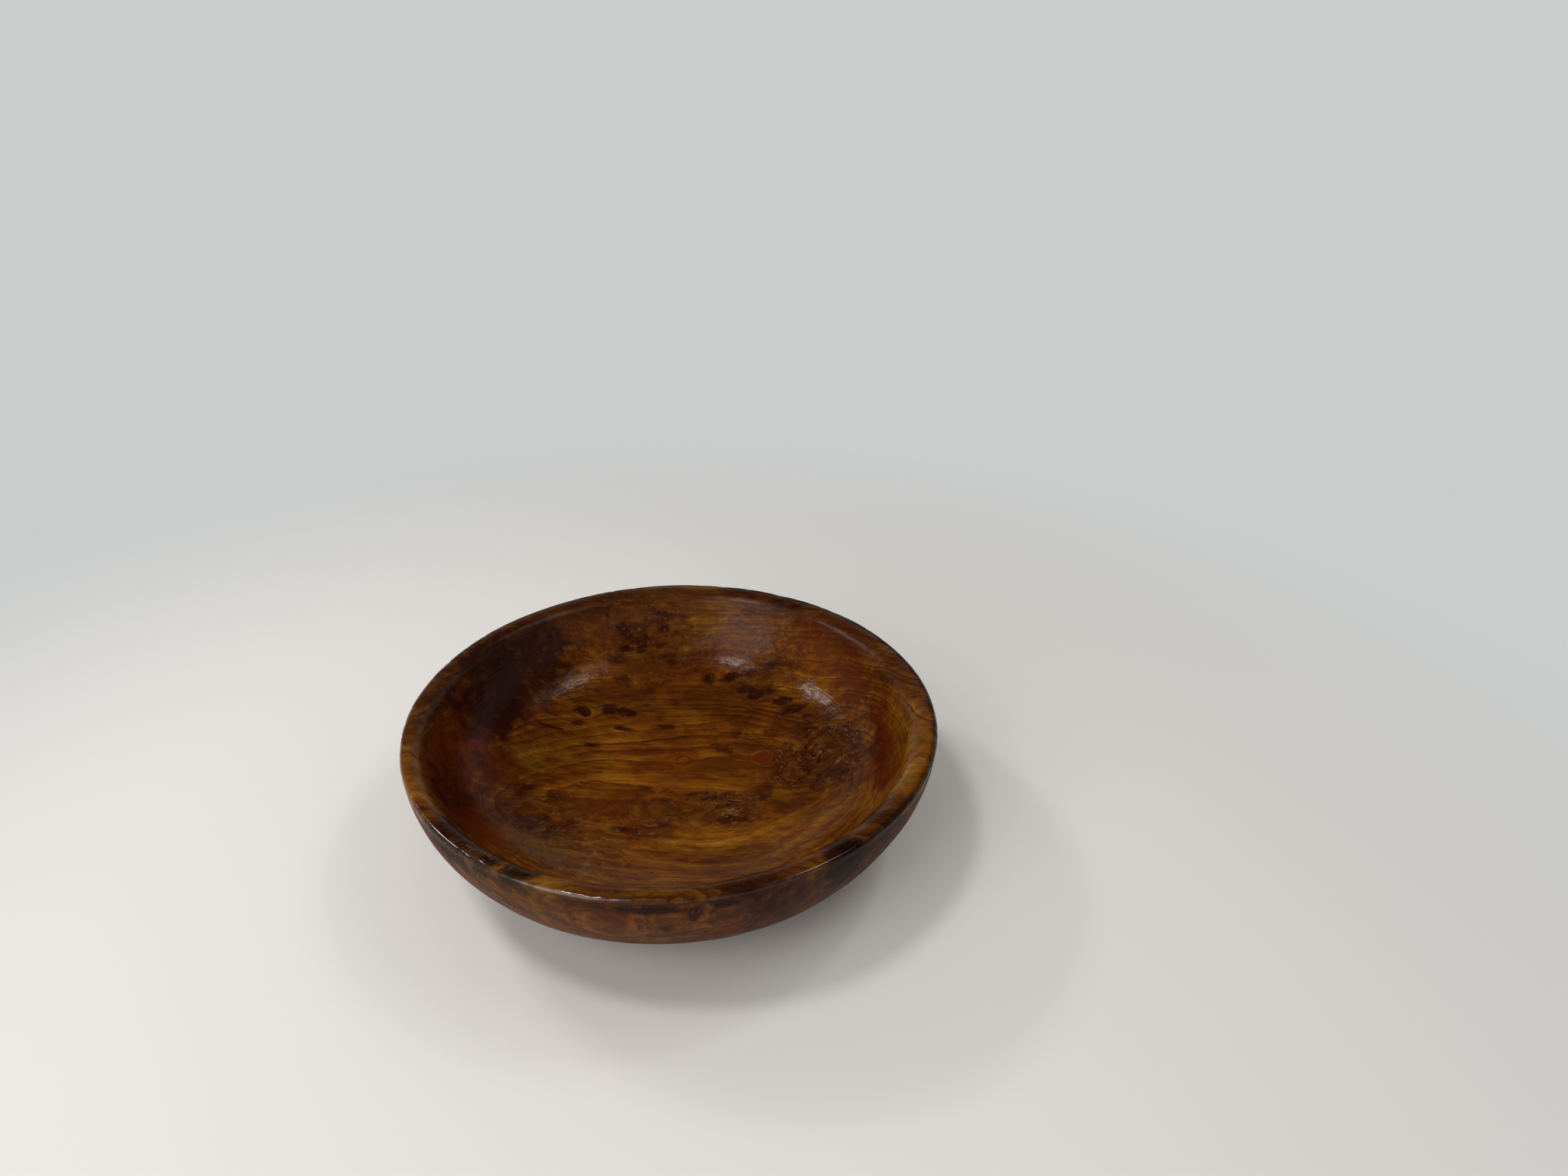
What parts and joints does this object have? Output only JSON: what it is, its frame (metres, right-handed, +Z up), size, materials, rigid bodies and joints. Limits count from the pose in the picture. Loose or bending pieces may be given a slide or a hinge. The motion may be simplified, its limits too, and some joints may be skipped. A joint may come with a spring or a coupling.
{
  "type": "turned wooden bowl",
  "caption": "Shallow round bowl turned from one piece of burr wood, with a thick soft rim, a full belly and a low hollowed foot, for serving or display.",
  "frame": {"origin": "centre of the flat ring that the foot stands on, at table level", "axes": "+Z up along the lathe axis; +X along the grain, left to right in the picture; +Y away from its viewer"},
  "size_m": [0.3, 0.3, 0.08],
  "materials": {
    "burr_wood": "golden brown burr wood with dark figure under a polished, slightly worn varnish"
  },
  "bodies": {
    "root": {"bowl": "burr_wood"}
  },
  "joints": []
}
